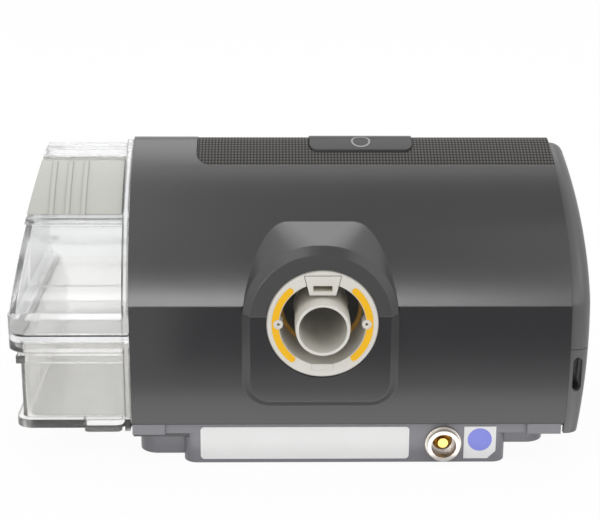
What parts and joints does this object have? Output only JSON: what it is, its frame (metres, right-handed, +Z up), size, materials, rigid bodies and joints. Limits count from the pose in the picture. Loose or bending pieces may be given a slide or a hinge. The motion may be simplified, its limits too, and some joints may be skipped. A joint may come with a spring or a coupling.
{
  "type": "positive airway pressure machine",
  "caption": "Bedside breathing machine with an arched casing, a hose outlet at the back and a clear water tub that slides out of one side.",
  "frame": {"origin": "centre of the object's footprint at the height of its rubber feet's soles", "axes": "+X towards the tub side, +Y out of the back where the hose outlet is, +Z up"},
  "size_m": [0.2132, 0.15, 0.1153],
  "materials": {
    "casing": "fine textured dark grey moulding",
    "casing_gloss": "smooth dark grey moulding",
    "strip": "black with a fine grid of raised dots",
    "screen": "smoked window",
    "light_grey": "off-white moulding",
    "latch_grey": "light grey moulding",
    "yellow_print": "printed arcs",
    "clear": "clear polycarbonate",
    "seal": "soft grey silicone",
    "dark_rubber": "soft black rubber",
    "steel": "brushed stainless sheet",
    "spring_steel": "drawn spring wire",
    "screw_steel": "zinc plated",
    "gold": "gold plated contact",
    "nickel": "nickel plated shell",
    "board": "green glass-fibre laminate",
    "motor_metal": "turned aluminium",
    "iron": "laminated iron",
    "inner_white": "unpainted inner moulding",
    "foam": "open-cell foam",
    "filter_fibre": "pleated white fibre",
    "label": "white film, left plain",
    "ribbon": "flat flexible lead"
  },
  "bodies": {
    "housing": {"rear_cover": "casing", "top_cover": "casing", "top_strip": "strip", "start_switch": "board", "front_panel": "casing", "screen_window": "screen", "lcd_module": "steel", "display_board": "board", "light_sensor_lens": "screen", "dial_encoder": "casing_gloss", "side_cover": "casing", "door_hinge_pins": "steel", "base_chassis": "casing", "rubber_feet": "dark_rubber", "case_screws": "screw_steel", "board_screws": "screw_steel", "main_board": "board", "power_inlet": "nickel", "inlet_contact": "gold", "outlet_ring": "light_grey", "outlet_tube": "light_grey", "outlet_markers": "yellow_print", "outlet_seal": "dark_rubber", "contact_block": "light_grey", "contact_pins": "gold", "blower_lower": "inner_white", "blower_upper": "inner_white", "motor_housing": "motor_metal", "motor_stator": "iron", "motor_bearings": "spring_steel", "blower_mounts": "dark_rubber", "intake_duct": "inner_white", "blower_inlet_seal": "seal", "muffler_foam": "foam", "air_filter": "filter_fibre", "sd_socket": "steel", "bay_liner": "casing_gloss", "port_seals": "seal", "heater_springs": "spring_steel", "rating_label": "label", "manual_label": "label", "display_ribbon": "ribbon"},
    "start_button": {"start_button": "casing_gloss"},
    "home_button": {"home_button": "casing_gloss"},
    "dial_stem": {"dial_stem": "inner_white"},
    "dial_knob": {"dial_knob": "casing_gloss"},
    "filter_door": {"filter_door": "casing"},
    "sd_card_door": {"sd_card_door": "casing"},
    "adapter_door": {"adapter_door": "casing"},
    "sd_card": {"sd_card": "casing_gloss"},
    "rotor": {"motor_rotor": "motor_metal", "impeller": "inner_white"},
    "heater": {"heater_plate": "steel"},
    "tub": {"tub_base": "clear", "tub_lid": "clear", "tub_gasket": "seal", "tub_plate": "steel", "tub_air_tube": "clear"},
    "latch": {"tub_latch": "latch_grey"}
  },
  "joints": [
    {"name": "start_press", "type": "slide", "parent": "housing", "child": "start_button", "axis": [0, 0, -1], "range_m": [0, 0.0008], "stiffness_N_per_m": 500, "springref_m": -0.001},
    {"name": "home_press", "type": "slide", "parent": "housing", "child": "home_button", "axis": [0, 0.7432, -0.6691], "range_m": [0, 0.0005], "stiffness_N_per_m": 500, "springref_m": -0.001},
    {"name": "dial_press", "type": "slide", "parent": "housing", "child": "dial_stem", "axis": [0, 0.7432, -0.6691], "range_m": [0, 0.0008], "stiffness_N_per_m": 500, "springref_m": -0.001},
    {"name": "dial_turn", "type": "hinge", "parent": "dial_stem", "child": "dial_knob", "pos_m": [-0.008, -0.03123, 0.07477], "axis": [0, -0.7432, 0.6691], "continuous": true},
    {"name": "filter_door_swing", "type": "hinge", "parent": "housing", "child": "filter_door", "pos_m": [-0.1, 0.039, 0.0144], "axis": [0, -1, 0], "range_deg": [0, 80]},
    {"name": "sd_card_door_swing", "type": "hinge", "parent": "housing", "child": "sd_card_door", "pos_m": [-0.1, -0.016, 0.0144], "axis": [0, -1, 0], "range_deg": [0, 80]},
    {"name": "adapter_door_swing", "type": "hinge", "parent": "housing", "child": "adapter_door", "pos_m": [-0.1, -0.046, 0.0144], "axis": [0, -1, 0], "range_deg": [0, 80]},
    {"name": "sd_card_push", "type": "slide", "parent": "housing", "child": "sd_card", "axis": [1, 0, 0], "range_m": [0, 0.001], "stiffness_N_per_m": 300, "springref_m": -0.001},
    {"name": "impeller_spin", "type": "hinge", "parent": "housing", "child": "rotor", "pos_m": [-0.05, 0.012, 0.045], "axis": [0, 0, 1], "continuous": true},
    {"name": "heater_float", "type": "slide", "parent": "housing", "child": "heater", "axis": [0, 0, -1], "range_m": [0, 0.0008], "stiffness_N_per_m": 1500, "springref_m": -0.001, "deforming": ["heater_springs"]},
    {"name": "tub_slide", "type": "slide", "parent": "housing", "child": "tub", "axis": [1, 0, 0], "range_m": [0, 0.1]},
    {"name": "latch_swing", "type": "hinge", "parent": "tub", "child": "latch", "pos_m": [0.08, 0.0321, 0.10222], "axis": [-1, 0, 0], "range_deg": [0, 3], "stiffness_Nm_per_rad": 0.05, "springref_deg": -5.73}
  ]
}
